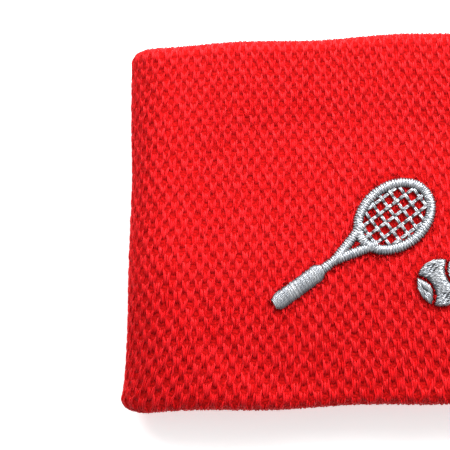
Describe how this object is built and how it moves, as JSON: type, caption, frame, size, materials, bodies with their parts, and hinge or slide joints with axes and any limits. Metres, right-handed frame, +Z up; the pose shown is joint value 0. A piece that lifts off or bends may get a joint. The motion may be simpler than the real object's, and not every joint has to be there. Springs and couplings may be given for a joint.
{
  "type": "sweat wristband",
  "caption": "Flat-lying red sweat wristband: a knitted terry tube turned in at both ends, with an elastic opening, an inside seam, a care label and an embroidered racket and ball.",
  "frame": {"origin": "centre of the face that the band rests on when it lies flat", "axes": "+X across the flattened band, +Y along the tube towards the hand, +Z up through the back wall and then the front wall, which carries the emblem"},
  "size_m": [0.088, 0.069, 0.0146],
  "materials": {
    "outer_knit": "coarse cotton pique knit, matte with a slight sheen on each loop",
    "turned_edge": "the same knit, turned inwards at each end",
    "terry_lining": "cotton terry loops, matte",
    "elastic_yarn": "covered rubber yarn",
    "linking_thread": "twisted sewing thread",
    "backing_fleece": "non-woven stabiliser",
    "bobbin_thread": "fine white thread",
    "satin_thread": "silver-grey embroidery thread with a silky sheen",
    "label_satin": "blank woven satin label"
  },
  "bodies": {
    "back_half": {"outer_knit_back": "outer_knit", "hand_edge_back": "turned_edge", "forearm_edge_back": "turned_edge", "lining_hand_back": "terry_lining", "lining_forearm_back": "terry_lining", "elastic_yarns_back": "elastic_yarn", "linking_seam_back": "terry_lining", "seam_stitches_back": "linking_thread", "care_label_root": "label_satin", "label_stitches": "linking_thread"},
    "front_half": {"outer_knit_front": "outer_knit", "hand_edge_front": "turned_edge", "forearm_edge_front": "turned_edge", "lining_hand_front": "terry_lining", "lining_forearm_front": "terry_lining", "elastic_yarns_front": "elastic_yarn", "linking_seam_front": "terry_lining", "seam_stitches_front": "linking_thread", "emblem_backing": "backing_fleece", "emblem_bobbin_thread": "bobbin_thread", "racket_frame": "satin_thread", "racket_strings": "satin_thread", "racket_throat": "satin_thread", "racket_shaft": "satin_thread", "racket_grip": "satin_thread", "ball_left_panel": "satin_thread", "ball_middle_panel": "satin_thread", "ball_right_panel": "satin_thread"},
    "care_label": {"care_label_flap": "label_satin"}
  },
  "joints": [
    {"name": "opening", "type": "slide", "parent": "back_half", "child": "front_half", "axis": [0, 0, 1], "range_m": [0, 0.02], "stiffness_N_per_m": 400},
    {"name": "label_lift", "type": "hinge", "parent": "back_half", "child": "care_label", "pos_m": [0, -0.0101, 0.00465], "axis": [1, 0, 0], "range_deg": [0, 18]}
  ]
}
